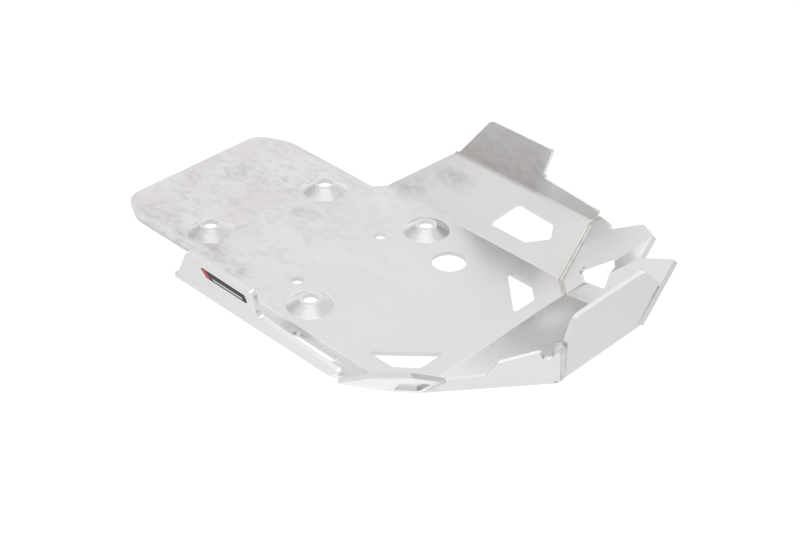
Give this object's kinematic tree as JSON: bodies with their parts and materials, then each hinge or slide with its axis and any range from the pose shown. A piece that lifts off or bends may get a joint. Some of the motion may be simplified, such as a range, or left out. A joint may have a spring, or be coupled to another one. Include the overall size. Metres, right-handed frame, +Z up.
{
  "type": "engine guard",
  "caption": "Folded aluminium skid plate for a motorcycle engine: flat floor with dimpled bolt seats, sloped sides, low flanges and a welded upright nose.",
  "frame": {"origin": "middle of the bounding box, on the floor's underside", "axes": "+X forward towards the upright nose, +Y the left side with the drain hole, +Z up"},
  "size_m": [0.4738, 0.3248, 0.1015],
  "materials": {
    "plate": "mill finish, lightly brushed",
    "weld": "ground weld",
    "label": "printed film, left blank"
  },
  "bodies": {
    "root": {"guard_plate": "plate", "side_weld_left": "weld", "side_weld_right": "weld", "front_weld_left": "weld", "front_weld_right": "weld", "side_label": "label"}
  },
  "joints": []
}
